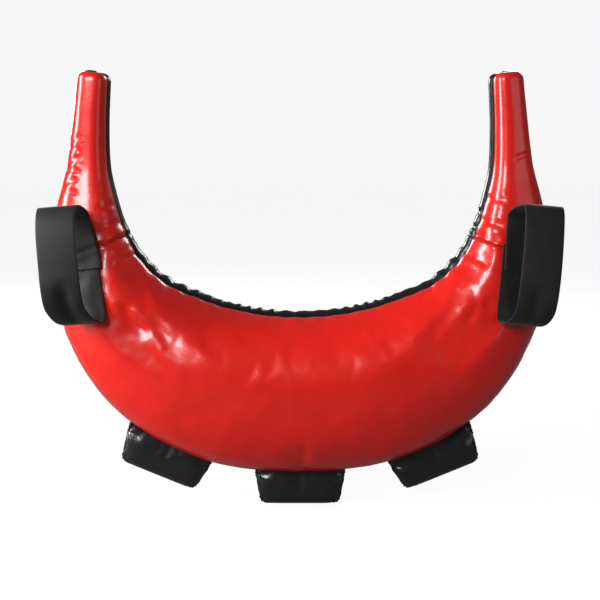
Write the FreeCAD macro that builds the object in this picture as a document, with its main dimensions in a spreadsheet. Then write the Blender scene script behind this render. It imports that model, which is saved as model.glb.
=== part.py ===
"""Crescent training bag: a stuffed crescent of red and black leather with two hand loops and three tabs.

Millimetres and degrees. The bag stands upright in the XZ plane with its horns up. The red face looks
towards -Y and the black face towards +Y. X = 0 is the plane of symmetry, and Z = 0 is the free edge of
the middle tab. The seam between the two faces lies in the plane Y = 0.
"""
import FreeCAD, Part
import os

# ---------------------------------------------------------------- driving sizes
SIZES = [
    # alias, value, meaning
    ("horn_span", 524, "between the centre lines of the two horns where they run straight up"),
    ("bag_height", 498, "from the bottom of the belly to the horn tips"),
    ("equator_height", 333, "from the bottom of the belly to where the centre line runs straight up"),
    ("fullness", 2.2, "exponent of the centre line: 2 is an ellipse, more is squarer"),
    ("horn_lean", 13, "how far each horn tip leans in"),
    ("lean_growth", 1.5, "exponent of the lean: 1 is a straight horn, more bends it nearer the tip"),
    ("skin", 1.5, "coated leather"),
    ("liner", 1.0, "canvas liner bag"),
    ("wadding", 14, "wadding round the sand"),
    ("sack_length", 170, "width of the middle sand sack"),
    ("sack_gap", 0.5, "between neighbouring sacks"),
    ("webbing", 2.5, "thickness of the hand loop's webbing"),
    ("webbing_width", 45, "width of the hand loop's webbing"),
    ("loop_length", 142, "hand loop, measured along the horn"),
    ("loop_drop", 20, "how far the hand loop's middle is below the root of the horn"),
    ("loop_offset", 8, "how far the hand loop's middle is outside the centre line"),
    ("loop_turn", 5, "degrees that the hand loop's top is turned inwards from the line of the horn"),
    ("loop_reach", 56, "how far the hand loop stands off the bag"),
    ("loop_rise", 2.6, "gap under the loop's lower side at its middle"),
    ("anchor_length", 90, "stretch of the loop that is sewn down"),
    ("thread", 0.8, "how far the thread stands proud of the webbing"),
    ("stitch_inset", 4, "from the webbing's edge to the outside of a row of stitches"),
    ("stitch_width", 2, "width of a row of stitches"),
    ("clearance", 0.3, "running gap between pieces that move past each other"),
    ("tab_reach", 49, "from the outer seam to the free edge of a tab"),
    ("tab_width", 120, "tab at the seam"),
    ("tab_shoulder_width", 112, "tab where it starts to swell"),
    ("tab_waist_width", 100, "tab at its thickest"),
    ("tab_edge_width", 92, "tab at its free edge"),
    ("tab_neck", 5, "thickness of the tab where it hinges"),
    ("tab_thickness", 25, "thickness of the tab at its thickest"),
    ("tab_edge_thickness", 13, "thickness of the tab at its free edge"),
    ("tab_hinge_drop", 6.5, "from the outer seam to the line about which a tab bends"),
    ("tab_shoulder_drop", 17, "from the outer seam to the tab's shoulder"),
    ("tab_waist_drop", 38, "from the outer seam to the tab's thickest place"),
    ("tab_skin", 1.5, "leather of a tab's covers"),
    ("flange", 4, "thickness of the strip that joins a tab to the seam"),
    ("flange_depth", 14, "how far the strip runs up past the outermost place of the seam"),
]

# Stations along the centre line: (name, place, width in the XZ plane, depth in Y).
# On the belly the place is an angle from the bottom, and on the horns a share of the horn's length.
BELLY_STATIONS = [
    ("belly", 0, 200, 142),
    ("flank", 27, 193, 139),
    ("cheek", 42, 176, 132),
    ("shoulder", 56, 147, 120),
    ("haunch", 69, 120, 103),
    ("root", 80, 97, 86),
    ("neck", 90, 75, 69),
]
HORN_STATIONS = [
    ("grip_low", 0.3, 50, 48),
    ("grip", 0.6, 41, 40),
    ("grip_high", 0.85, 37.5, 37),
    ("crown", 0.97, 36, 35),
    ("tip", 1.0, 30, 29),
]
ROOM = 400          # side of the boxes that part one zone from another, larger than the bag's half
HORN_ROOM = 100     # how far a horn's box reaches in past the centre line, more than half a horn's width
BURIED = 20         # how far the boxes of a loop start behind the face that they are cut back to
SIDES = ("left", "right")
LOFT_DEGREE = 5

doc = FreeCAD.newDocument("crescent_bag")


def make_sheet():
    """The spreadsheet of driving sizes, one alias to a row."""
    sheet = doc.addObject("Spreadsheet::Sheet", "sizes")
    rows = list(SIZES)
    for name, place, width, depth in BELLY_STATIONS + HORN_STATIONS:
        rows.append((name + "_place", place, "where the " + name + " station is"))
        rows.append((name + "_width", width, "width of the bag at the " + name))
        rows.append((name + "_depth", depth, "depth of the bag at the " + name))
    for row, (alias, value, meaning) in enumerate(rows, 1):
        sheet.set("A%d" % row, alias)
        sheet.set("B%d" % row, str(value))
        sheet.set("C%d" % row, meaning)
        sheet.setAlias("B%d" % row, alias)
    doc.recompute()


def size(text):
    """An expression in which each word in braces is a cell of the sheet."""
    return text.replace("{", "sizes.").replace("}", "")


def bind(thing, **expressions):
    """Bind properties of a document object to the sheet."""
    for prop, text in expressions.items():
        thing.setExpression(prop, size(str(text)))
    return thing


def add(kind, name, **expressions):
    """A document object whose Label is its name, with its sizes bound."""
    thing = doc.addObject(kind, name)
    thing.Label = name
    return bind(thing, **expressions)


def place(x, y, z, turn="rotation(vector(0; 1; 0); 0)"):
    """The expression of a placement."""
    return "placement(vector(%s; %s; %s); %s)" % (x, y, z, turn)


def about(axis, angle):
    """The expression of a turn about a row axis."""
    vector = {"x": "1; 0; 0", "y": "0; 1; 0"}[axis]
    return "rotation(vector(%s); %s)" % (vector, angle)


# ---------------------------------------------------------------- the centre line
def belly_station(name):
    """Place and tilt of a station on the right half of the belly, as expressions.

    The centre line is a superellipse. The tilt is the angle of its outward normal in the XZ plane.
    """
    angle = "({%s_place} * 1 deg)" % name
    half_width = "({horn_span} / 2)"
    half_height = "({equator_height} - {belly_width} / 2)"
    x = "(%s * pow(sin(%s); 2 / {fullness}))" % (half_width, angle)
    drop = "(%s * pow(abs(cos(%s)); 2 / {fullness}))" % (half_height, angle)
    z = "({tab_reach} + {equator_height} - %s)" % drop
    normal_x = "pow(sin(%s); 2 - 2 / {fullness}) / %s" % (angle, half_width)
    normal_z = "pow(abs(cos(%s)); 2 - 2 / {fullness}) / %s" % (angle, half_height)
    return x, z, "atan2(-%s; %s)" % (normal_z, normal_x)


def horn_station(name):
    """Place and tilt of a station on the right horn, as expressions."""
    share = "{%s_place}" % name
    length = "({bag_height} - {equator_height})"
    x = "({horn_span} / 2 - {horn_lean} * pow(%s; {lean_growth}))" % share
    z = "({tab_reach} + {equator_height} + %s * %s)" % (length, share)
    slope = "{lean_growth} * {horn_lean} * pow(%s; {lean_growth} - 1) / %s" % (share, length)
    return x, z, "atan(%s)" % slope


def station_ellipse(form, name, inset, side):
    """One elliptical section of a form, square to the centre line, inset from the bag's outside."""
    on_horn = name in [row[0] for row in HORN_STATIONS]
    x, z, tilt = horn_station(name) if on_horn else belly_station(name)
    if name in ("crown", "tip"):
        z = "(%s - (%s))" % (z, inset)
    if side == "left":
        x = "-" + x
        turn = "180 deg + (%s)" % tilt
    else:
        turn = "0 deg - (%s)" % tilt
    section = add("Part::Ellipse", "%s_%s_%s" % (form, name, side),
                  MajorRadius="{%s_width} / 2 - (%s)" % (name, inset),
                  MinorRadius="{%s_depth} / 2 - (%s)" % (name, inset),
                  Placement=place(x, 0, z, about("y", turn)))
    return section


def crescent(form, inset, stations):
    """A closed form lofted through the sections, from the left end round to the right end."""
    left = [station_ellipse(form, name, inset, "left") for name in reversed(stations[1:])]
    right = [station_ellipse(form, name, inset, "right") for name in stations]
    loft = add("Part::Loft", form)
    loft.Sections = left + right
    loft.Solid = True
    loft.MaxDegree = LOFT_DEGREE
    return loft


# ---------------------------------------------------------------- short forms of the booleans
def cut(name, base, tool):
    thing = add("Part::Cut", name)
    thing.Base, thing.Tool = base, tool
    return thing


def common(name, base, tool):
    thing = add("Part::Common", name)
    thing.Base, thing.Tool = base, tool
    return thing


def fuse(name, shapes):
    thing = add("Part::MultiFuse", name)
    thing.Shapes = shapes
    return thing


def mirrored(name, source):
    """The same piece on the right side of the bag."""
    thing = add("Part::Mirroring", name)
    thing.Source = source
    thing.Normal = (1, 0, 0)
    return thing


def box(name, x, y, z, low):
    """A box of the given sides, with its lowest corner at low."""
    return add("Part::Box", name, Length=x, Width=y, Height=z, Placement=place(*low))


# ---------------------------------------------------------------- shell and fill
def make_zones():
    """Boxes that part the front from the back and each horn from the belly."""
    span = 2 * ROOM
    front = box("front_zone", span, ROOM, span, (-ROOM, -ROOM, 0))
    back = box("back_zone", span, ROOM, span, (-ROOM, 0, 0))
    x, z, tilt = belly_station("root")
    half = ROOM / 2
    corner_x = "-%s - %s * cos(%s)" % (x, half, tilt)
    corner_z = "%s + %s * sin(%s)" % (z, half, tilt)
    left = add("Part::Box", "left_horn_zone", Length=half + HORN_ROOM, Width=span, Height=ROOM,
               Placement=place(corner_x, -ROOM, corner_z, about("y", tilt)))
    return front, back, {"left": left, "right": mirrored("right_horn_zone", left)}


def make_shell(outer, lined, zones):
    """The six leather panels: a belly panel and two horn panels to each face."""
    front, back, horns = zones
    skin = cut("skin_form", outer, lined)
    panels = []
    for colour, half in (("red", front), ("black", back)):
        face = common(colour + "_face", skin, half)
        belly = cut(colour + "_belly_and_right", face, horns["left"])
        panels.append(cut(colour + "_belly_panel", belly, horns["right"]))
        for side in SIDES:
            panels.append(common("%s_%s_horn_panel" % (colour, side), face, horns[side]))
    return panels


def make_fill(lined, padded, filled, zones):
    """Liner bag, wadding, three sand sacks and the two horn cores."""
    horns = zones[2]
    pieces = [cut("liner_bag", lined, padded)]
    belly = cut("fill_and_right", padded, horns["left"])
    belly = cut("belly_fill", belly, horns["right"])
    pieces.append(cut("belly_wadding", belly, filled))
    for side in SIDES:
        pieces.append(common(side + "_horn_core", padded, horns[side]))
    middle = box("middle_zone", "{sack_length}", 2 * ROOM, 2 * ROOM, ("-{sack_length} / 2", -ROOM, 0))
    pieces.append(common("middle_sand_sack", filled, middle))
    outside = box("left_zone", ROOM, 2 * ROOM, 2 * ROOM,
                  ("-{sack_length} / 2 - {sack_gap} - %s" % ROOM, -ROOM, 0))
    left = common("left_sand_sack", filled, outside)
    pieces += [left, mirrored("right_sand_sack", left)]
    return pieces


# ---------------------------------------------------------------- hand loops
def loop_frame():
    """The left loop's frame: its origin on the red face below the horn's root, Z along the horn."""
    x, z, tilt = belly_station("root")
    low, high = belly_station("haunch"), belly_station("neck")
    run = "sqrt(pow(%s - %s; 2) + pow(%s - %s; 2))" % (high[0], low[0], high[1], low[1])
    lean = "atan(({haunch_depth} - {neck_depth}) / 2 / %s)" % run
    turn = "%s * %s" % (about("y", "%s + {loop_turn} * 1 deg" % tilt), about("x", "0 deg - (%s)" % lean))
    root = place("-" + x, "-{root_depth} / 2", z, turn)
    return "%s * %s" % (root, place("-{loop_offset}", 0, "-{loop_drop}"))


def loop_prism(name, inset, frame):
    """An elliptical prism across the horn: the outline of the webbing ring, inset."""
    rise = "(({loop_reach} - {loop_rise}) / 2)"
    centre = "{loop_rise} + " + rise
    outline = add("Part::Ellipse", name + "_outline",
                  MajorRadius="{loop_length} / 2 - (%s)" % inset,
                  MinorRadius="%s - (%s)" % (rise, inset),
                  Placement=place(0, "-(%s)" % centre, 0, about("y", "-90 deg")))
    prism = add("Part::Extrusion", name, LengthFwd="{webbing_width}", Placement=frame)
    prism.Base = outline
    prism.DirMode = "Custom"
    prism.Dir = (1, 0, 0)
    prism.Symmetric = True
    prism.Solid = True
    return prism


def loop_box(name, across, low, high, along, frame):
    """A box in the loop's frame, centred across and along the webbing, from low to high off the face."""
    corner = "vector(-(%s) / 2; -(%s); -(%s) / 2)" % (across, high, along)
    offset = "placement(%s; rotation(vector(0; 1; 0); 0))" % corner
    return add("Part::Box", name, Length=across, Width="%s - (%s)" % (high, low), Height=along,
               Placement="%s * %s" % (frame, offset))


def make_loops(outer):
    """Each loop is one webbing: a sewn anchor, its stitching, and the free hand strap."""
    frame = loop_frame()
    middle = "({loop_rise} + ({loop_reach} - {loop_rise}) / 2)"
    deep = -BURIED
    outside = loop_prism("loop_outside", 0, frame)
    inside = loop_prism("loop_inside", "{webbing}", frame)
    thread_inside = loop_prism("thread_inside", "{webbing} + {thread}", frame)

    seat = loop_box("anchor_seat", "{webbing_width}", deep, middle, "{anchor_length}", frame)
    anchor = cut("anchor_under", cut("anchor_block", seat, inside), outer)
    bend = loop_box("strap_gap", "2 * {webbing_width}", deep, middle,
                    "{anchor_length} + 2 * {clearance}", frame)
    strap = cut("strap_free", cut("loop_ring", outside, inside), bend)

    rows_across = "{webbing_width} - 2 * {stitch_inset}"
    rows_along = "{anchor_length} - 2 * {stitch_inset}"
    rows = loop_box("stitch_outline", rows_across, 0, middle, rows_along, frame)
    bare = loop_box("stitch_middle", rows_across + " - 2 * {stitch_width}", deep, "{loop_reach}",
                    rows_along + " - 2 * {stitch_width}", frame)
    layer = cut("thread_layer", inside, thread_inside)
    thread = common("thread_rows", layer, cut("stitch_frame", rows, bare))

    pieces = []
    for label, left in (("loop_anchor", anchor), ("hand_strap", strap), ("loop_stitching", thread)):
        left.Label = "left_" + label
        pieces += [left, mirrored("right_" + label, left)]
    return pieces


# ---------------------------------------------------------------- tabs
def tab_form(name, inset, frame):
    """A tab's padded form, from its neck to its free edge, inset on every side."""
    rows = [("neck", "{tab_width}", "{tab_neck}", "{tab_hinge_drop}"),
            ("shoulder", "{tab_shoulder_width}", "({tab_neck} + {tab_thickness}) / 2",
             "{tab_shoulder_drop}"),
            ("waist", "{tab_waist_width}", "{tab_thickness}", "{tab_waist_drop}"),
            ("edge", "{tab_edge_width}", "{tab_edge_thickness}", "{tab_reach} - (%s)" % inset)]
    if inset:
        rows = rows[1:]
    sections = []
    for row, width, thickness, drop in rows:
        wide = "(%s - 2 * (%s))" % (width, inset)
        thick = "(%s - 2 * (%s))" % (thickness, inset)
        sections.append(add("Part::Plane", "%s_%s" % (name, row), Length=wide, Width=thick,
                            Placement=place("-%s / 2" % wide, "-%s / 2" % thick, "-(%s)" % drop)))
    form = add("Part::Loft", name, Placement=frame)
    form.Sections = sections
    form.Solid = True
    form.Ruled = True
    return form


def make_tab(label, frame, outer):
    """One tab: front and back covers over a foam pad, on a flange that is sewn into the outer seam."""
    body = tab_form(label + "_form", 0, frame)
    neck = add("Part::Cylinder", label + "_neck", Radius="{tab_neck} / 2", Height="{tab_width}",
               Placement="%s * %s" % (frame, place("-{tab_width} / 2", 0, "-{tab_hinge_drop}",
                                                   about("y", "90 deg"))))
    pad = tab_form(label + "_pad", "{tab_skin}", frame)
    covers = cut(label + "_covers", fuse(label + "_pouch", [body, neck]), pad)
    pieces = [pad]
    for face, low in (("front", "-{tab_width}"), ("back", "0")):
        half = add("Part::Box", "%s_%s_half" % (label, face), Length="2 * {tab_width}",
                   Width="{tab_width}", Height="2 * {tab_reach}",
                   Placement="%s * %s" % (frame, place("-{tab_width}", low, "-2 * {tab_reach}")))
        pieces.append(common("%s_%s_cover" % (label, face), covers, half))
    flange_end = "({tab_hinge_drop} - {tab_neck} / 2 - {clearance})"
    strip = add("Part::Box", label + "_strip", Length="{tab_width}", Width="{flange}",
                Height="{flange_depth} + " + flange_end,
                Placement="%s * %s" % (frame, place("-{tab_width} / 2", "-{flange} / 2",
                                                    "-" + flange_end)))
    pieces.append(cut(label + "_flange", strip, outer))
    return pieces


def make_tabs(outer):
    """The middle tab at the bottom of the belly, and one tab at each flank."""
    middle = make_tab("middle_tab", place(0, 0, "{tab_reach}"), outer)
    x, z, tilt = belly_station("flank")
    seam_x = "-(%s + {flank_width} / 2 * cos(%s))" % (x, tilt)
    seam_z = "%s + {flank_width} / 2 * sin(%s)" % (z, tilt)
    left = make_tab("left_tab", place(seam_x, 0, seam_z, about("y", "90 deg + (%s)" % tilt)), outer)
    right = [mirrored(piece.Label.replace("left", "right", 1), piece) for piece in left]
    return middle + left + right


# ---------------------------------------------------------------- build, check and write
def check(pieces):
    """Stop if any object failed or any piece is not a sound solid."""
    for thing in doc.Objects:
        if "Invalid" in thing.State or "Error" in thing.State:
            raise RuntimeError("%s did not build: %s" % (thing.Label, thing.getStatusString()))
    for piece in pieces:
        if piece.Shape.isNull() or not piece.Shape.isValid() or not piece.Shape.Solids:
            raise RuntimeError("%s has no sound solid" % piece.Label)


def main():
    make_sheet()
    whole = [row[0] for row in BELLY_STATIONS + HORN_STATIONS]
    belly = [row[0] for row in BELLY_STATIONS if row[0] != "neck"]
    outer = crescent("outer_form", "0", whole)
    lined = crescent("lined_form", "{skin}", whole)
    padded = crescent("padded_form", "{skin} + {liner}", whole)
    filled = crescent("filled_form", "{skin} + {liner} + {wadding}", belly)
    zones = make_zones()
    pieces = make_shell(outer, lined, zones)
    pieces += make_fill(lined, padded, filled, zones)
    pieces += make_loops(outer)
    pieces += make_tabs(outer)
    doc.recompute()
    check(pieces)
    os.makedirs("parts", exist_ok=True)
    for piece in pieces:
        piece.Shape.exportStep("parts/%s.step" % piece.Label)
        print("%-26s solids %d  volume %9.1f cm3" % (piece.Label, len(piece.Shape.Solids),
                                                     piece.Shape.Volume / 1000))
    print(len(pieces), "pieces")


main()
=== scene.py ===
# %% [markdown]
# # A crescent training bag, finished in Blender
# The bag is a stuffed leather crescent: a heavy belly, two horns to grip, one red face and one
# black face, a webbing hand loop at the foot of each horn on the red face, and three padded tabs
# sewn into the outer seam. The construction model is loaded here as a fixed frame. Every soft
# piece is then made again with the fullness, puckers and creases that the solid model leaves out.

# %% Load the frame
import bpy, bmesh, math, time
import numpy as np
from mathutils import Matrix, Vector, noise
from mathutils.bvhtree import BVHTree


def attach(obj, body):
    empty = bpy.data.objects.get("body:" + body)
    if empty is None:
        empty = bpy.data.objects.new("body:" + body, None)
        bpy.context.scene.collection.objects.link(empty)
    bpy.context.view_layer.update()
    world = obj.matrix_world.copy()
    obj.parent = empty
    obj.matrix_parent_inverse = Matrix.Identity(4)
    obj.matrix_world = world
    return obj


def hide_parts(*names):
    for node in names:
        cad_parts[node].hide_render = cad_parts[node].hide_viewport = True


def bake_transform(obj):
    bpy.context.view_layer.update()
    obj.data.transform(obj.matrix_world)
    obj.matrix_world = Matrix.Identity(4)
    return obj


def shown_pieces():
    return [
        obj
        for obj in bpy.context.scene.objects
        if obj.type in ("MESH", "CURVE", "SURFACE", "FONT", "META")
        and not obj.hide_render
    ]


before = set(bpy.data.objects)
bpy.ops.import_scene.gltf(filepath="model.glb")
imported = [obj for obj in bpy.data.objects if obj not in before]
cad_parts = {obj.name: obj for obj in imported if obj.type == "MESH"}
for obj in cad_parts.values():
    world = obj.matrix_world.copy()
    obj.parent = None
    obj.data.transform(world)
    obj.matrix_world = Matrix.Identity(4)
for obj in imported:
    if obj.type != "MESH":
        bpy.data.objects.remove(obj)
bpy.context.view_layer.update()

# %% [markdown]
# ## The camera
# The camera comes first, so that every later piece can be judged through it. It stands a little
# above the belly and looks slightly down, square to the red face. From little more than a metre
# away, perspective shows the near strap of each loop in front of the far one, and a band of the
# other leather over the inner curve.

# %% Camera
def look_from(thing, place, target):
    """Put a camera or a lamp at a place and turn it towards a target, with the horizon level."""
    thing.location = place
    thing.rotation_euler = (Vector(target) - Vector(place)).to_track_quat("-Z", "Y").to_euler()

camera = bpy.data.objects.new("camera", bpy.data.cameras.new("camera"))
bpy.context.scene.collection.objects.link(camera)
bpy.context.scene.camera = camera
look_from(camera, (0.0, -1.15, 0.460), (0.0, 0.0, 0.268))
camera.data.lens = 55.5
print("camera at", tuple(round(v, 3) for v in camera.location), "lens", camera.data.lens)

# %% [markdown]
# ## Small helpers
# A soft shell is easiest to make from rows of points, like the ribs of a boat. These helpers turn
# arrays of points into meshes, read and write all of a mesh's points at once, and draw a smooth
# line through a few sizes. Everything is kept at the origin, with its place in its own mesh, so a
# pattern never slides.

# %% Helpers for meshes
def deselect_all():
    for thing in bpy.context.selected_objects:
        thing.select_set(False)

def make_mesh(name, points, faces, colours=None):
    """An object at the origin from points and faces; colours gives each face's material slot."""
    mesh = bpy.data.meshes.new(name)
    mesh.from_pydata([tuple(p) for p in points], [], faces)
    if colours is not None:
        mesh.polygons.foreach_set("material_index", colours)
    mesh.validate()
    thing = bpy.data.objects.new(name, mesh)
    bpy.context.scene.collection.objects.link(thing)
    return thing

def points_of(thing):
    flat = np.empty(len(thing.data.vertices) * 3)
    thing.data.vertices.foreach_get("co", flat)
    return flat.reshape(-1, 3)

def normals_of(thing):
    flat = np.empty(len(thing.data.vertices) * 3)
    thing.data.vertex_normals.foreach_get("vector", flat)
    return flat.reshape(-1, 3)

def move_points(thing, points):
    thing.data.vertices.foreach_set("co", np.asarray(points).ravel())
    thing.data.update()

def store(thing, name, values):
    """Keep a number on every point, for the sculpting and the materials."""
    layer = thing.data.attributes.get(name) or thing.data.attributes.new(name, "FLOAT", "POINT")
    layer.data.foreach_set("value", np.asarray(values, np.float32))

def stored(thing, name):
    values = np.empty(len(thing.data.vertices), np.float32)
    thing.data.attributes[name].data.foreach_get("value", values)
    return values.astype(float)

def finish_modifier(thing, kind, **values):
    """Add a modifier, set it and apply it."""
    modifier = thing.modifiers.new(kind.title(), kind)
    for key, value in values.items():
        setattr(modifier, key, value)
    deselect_all()
    bpy.context.view_layer.objects.active = thing
    thing.select_set(True)
    bpy.ops.object.modifier_apply(modifier=modifier.name)
    return thing

def outward(thing):
    """Turn all faces outwards."""
    work = bmesh.new()
    work.from_mesh(thing.data)
    bmesh.ops.recalc_face_normals(work, faces=work.faces)
    if work.calc_volume(signed=True) < 0:
        bmesh.ops.reverse_faces(work, faces=work.faces)
    work.to_mesh(thing.data)
    work.free()

def smooth(thing):
    thing.data.polygons.foreach_set("use_smooth", [True] * len(thing.data.polygons))
    thing.data.update()
    return thing

print("helpers are ready")

# %% Helpers for curves and bumps
def through(x, xs, ys):
    """A smooth curve through the sizes ys at the places xs, read at x."""
    xs, ys = np.asarray(xs, float), np.asarray(ys, float)
    slopes = np.gradient(ys, xs)
    k = np.clip(np.searchsorted(xs, x) - 1, 0, len(xs) - 2)
    run = xs[k + 1] - xs[k]
    t = np.clip((x - xs[k]) / run, 0, 1)
    return ((2 * t**3 - 3 * t**2 + 1) * ys[k] + (t**3 - 2 * t**2 + t) * run * slopes[k]
            + (3 * t**2 - 2 * t**3) * ys[k + 1] + (t**3 - t**2) * run * slopes[k + 1])

def hill(distance, width):
    """1 at no distance, falling off smoothly over about this width on both sides."""
    return np.exp(-(distance / width) ** 2)

def ease(x, low, high):
    """0 up to low, 1 from high on, and a smooth rise between."""
    t = np.clip((x - low) / (high - low), 0, 1)
    return t * t * (3 - 2 * t)

def rough_wave(x, pitch, seed):
    """An uneven wave along x: two waves whose pitch drifts, between -1 and 1."""
    drift = 2.2 * np.sin(x / pitch * 0.61 + seed) + 1.7 * np.sin(x / pitch * 0.27 + 2.1 * seed)
    strong = 0.65 + 0.35 * np.sin(x / pitch * 0.83 + 1.3 * seed)
    return strong * np.sin(2 * np.pi * x / pitch + drift)

def lumps(points, size, seed):
    """Slow, soft lumps of about this size, between -1 and 1."""
    shift = Vector((seed * 7.3, seed * 3.1, seed * 5.7))
    return np.array([noise.noise(Vector(p) / size + shift) for p in points])

halfway = through(np.array([1.5]), [0, 1, 2], [0, 1, 4])[0]
print("a curve through 0, 1, 4 at 1.5 reads", round(float(halfway), 2))

# %% [markdown]
# ## The crescent's ribs
# The bag's centre line is a rounded U for the belly, and two nearly straight horns that lean in a
# little. Along it the bag gets thinner, from a belly as thick as a pillow to a tip that a hand
# closes round. Two flat panels sewn edge to edge and stuffed hard don't make a round tube: the
# sides stay flat-ish where the seam is, so each rib is a rounded box rather than an ellipse. The
# sizes are those of the construction model.

# %% The centre line and the sizes along it
HALF_SPAN, SHOULDER_HEIGHT = 0.262, 0.382
BELLY_DEPTH, BELLY_SQUARENESS = 0.233, 2.2
HORN_LEAN, HORN_RISE = 0.013, 0.165
BELLY_POINTS, HORN_POINTS = 500, 200

angles = np.radians(np.linspace(0, 90, BELLY_POINTS))
belly_line = np.c_[HALF_SPAN * np.sin(angles) ** (2 / BELLY_SQUARENESS),
                   SHOULDER_HEIGHT - BELLY_DEPTH * np.cos(angles) ** (2 / BELLY_SQUARENESS)]
shares = np.linspace(0, 1, HORN_POINTS)[1:]
horn_line = np.c_[HALF_SPAN - HORN_LEAN * shares ** 1.5, SHOULDER_HEIGHT + HORN_RISE * shares]
half_line = np.vstack([belly_line, horn_line])
run = np.r_[0, np.cumsum(np.hypot(*np.diff(half_line, axis=0).T))]
reach = run[-1]

def on_belly(degrees):
    """Distance along the line to an angle round the belly, from its lowest point."""
    return np.interp(math.radians(degrees), angles, run[:BELLY_POINTS])

def on_horn(share):
    """Distance along the line to a share of the horn's length."""
    return np.interp(share, shares, run[BELLY_POINTS:])

places = [on_belly(a) for a in (0, 27, 42, 56, 69, 80, 90)]
places += [on_horn(s) for s in (0.3, 0.6, 0.85, 1.0)]
widths = [0.200, 0.193, 0.176, 0.147, 0.120, 0.097, 0.075, 0.050, 0.041, 0.0375, 0.036]
depths = [0.142, 0.139, 0.132, 0.120, 0.103, 0.086, 0.070, 0.050, 0.0445, 0.0430, 0.042]
root = on_belly(80)
mirrored_places = [-p for p in places[:0:-1]] + places

def size_at(s, sizes):
    """A width or a depth at the distance s from the middle; left is negative."""
    return through(s, mirrored_places, sizes[:0:-1] + sizes)

print("half the centre line is", round(reach, 3), "m; the horn's root is at", round(root, 3))

# %% One rib
TIP_ROUND = 0.008
HORN_TWIST = {-1: 4, 1: 12}     # degrees, by side
BELLY_BOX = (2.35, 2.75)        # how square a rib is towards the outer and the inner seam
HORN_BOX = (3.6, 2.9)           # and on the horns, on the red and the black side

def rib_frame(s):
    """Centre and outward direction, in the XZ plane, at the distance s from the middle."""
    def at(v):
        x, z = (np.interp(abs(v), run, half_line[:, axis]) for axis in (0, 1))
        return np.array([math.copysign(1, v) * x, z])
    side = -1 if s < 0 else 1
    u, nudge = min(abs(s), reach), 0.004
    along = at(min(u + nudge, reach)) - at(max(u - nudge, -nudge))
    along /= np.hypot(*along)
    out = np.array([along[1], -along[0]])
    return at(u) * [side, 1], out * [side, 1]

def rib(s, inset, columns):
    """Points round one rib, from the outer seam over the red side to the inner seam and back.

    With them come each point's distance from the nearer seam, and a number that falls from 1 at
    the outer seam to -1 at the inner one.
    """
    centre, out = rib_frame(s)
    side, horn = -1 if s < 0 else 1, float(ease(abs(s), root - 0.06, root + 0.08))
    inset = inset * (1 - 0.85 * horn)
    end = max(0.0, abs(s) - (reach - TIP_ROUND)) / TIP_ROUND
    half_w, half_d = size_at(s, widths) / 2 - inset, size_at(s, depths) / 2 - inset
    shrink = (1 - math.sqrt(max(0.0, 1 - min(end, 1.0) ** 2))) * TIP_ROUND
    half_w, half_d = half_w - shrink, half_d - shrink
    turn = np.linspace(0, 2 * np.pi, 721)
    belly_box = np.where(np.cos(turn) < 0, BELLY_BOX[1], BELLY_BOX[0])
    horn_box = np.where(np.sin(turn) > 0, HORN_BOX[1], HORN_BOX[0])
    boxy = belly_box * (1 - horn) + horn_box * horn
    w = half_w * np.sign(np.cos(turn)) * np.abs(np.cos(turn)) ** (2 / boxy)
    d = -half_d * np.sign(np.sin(turn)) * np.abs(np.sin(turn)) ** (2 / boxy)
    length = np.r_[0, np.cumsum(np.hypot(np.diff(w), np.diff(d)))]
    even = np.linspace(0, length[-1], columns + 1)[:-1]
    w, d = np.interp(even, length, w), np.interp(even, length, d)
    seam_gap = np.minimum(np.minimum(even, length[-1] - even), np.abs(even - length[-1] / 2))
    outer = np.cos(2 * np.pi * even / length[-1])
    twist = math.radians(HORN_TWIST[side]) * float(ease(abs(s), root - 0.08, root + 0.12))
    w, d = w * math.cos(twist) - d * math.sin(twist), w * math.sin(twist) + d * math.cos(twist)
    return np.c_[centre[0] + out[0] * w, d, centre[1] + out[1] * w], seam_gap, outer

print("a rib in the middle is", np.ptp(rib(0.0, 0, 96)[0], axis=0).round(4), "m")

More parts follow.
